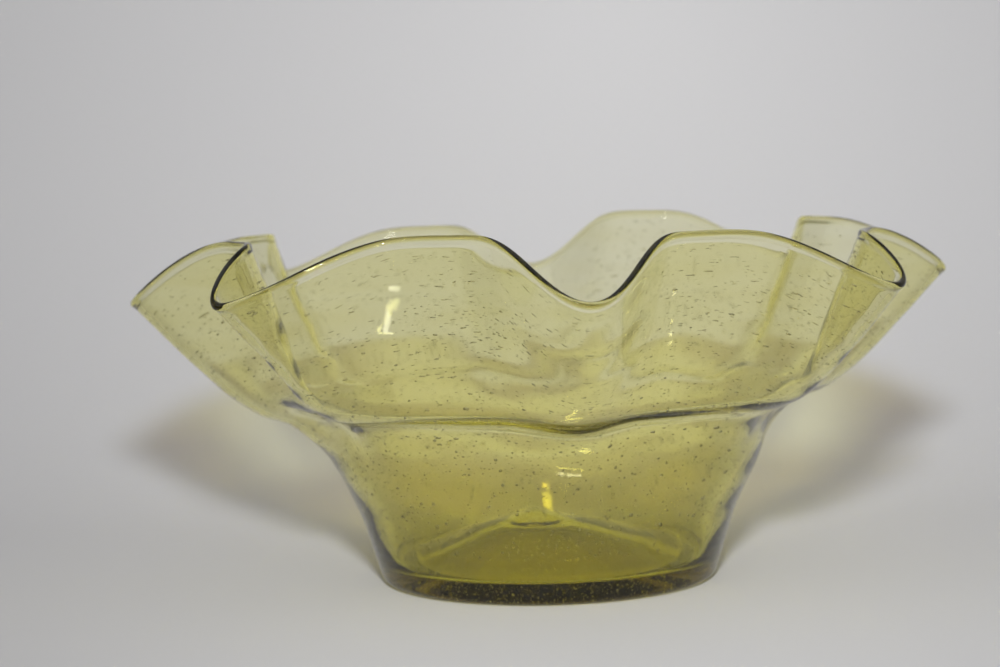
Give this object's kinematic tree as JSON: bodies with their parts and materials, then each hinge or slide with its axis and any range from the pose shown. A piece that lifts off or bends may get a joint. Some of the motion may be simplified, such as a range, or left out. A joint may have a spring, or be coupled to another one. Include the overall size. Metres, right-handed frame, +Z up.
{
  "type": "ruffled glass bowl",
  "caption": "Free-blown, seeded olive glass bowl with a flared body, a ledge, a deeply ruffled lip and a heavy flat-footed base.",
  "frame": {"origin": "on the table, under the middle of the bowl's overall outline", "axes": "+Z up through the open mouth, -Y towards the front of the bowl, +X to its right"},
  "size_m": [0.299, 0.295, 0.1313],
  "materials": {
    "wall_glass": "fire-polished, seeded, transparent olive",
    "lip_glass": "fire-polished, transparent, deeper olive where it is thick",
    "base_glass": "thick, densely seeded, transparent dark olive",
    "pontil_glass": "rough broken glass, translucent olive"
  },
  "bodies": {
    "root": {"bowl_wall": "wall_glass", "rim_bead": "lip_glass", "base_pad": "base_glass", "pontil_mark": "pontil_glass"}
  },
  "joints": []
}
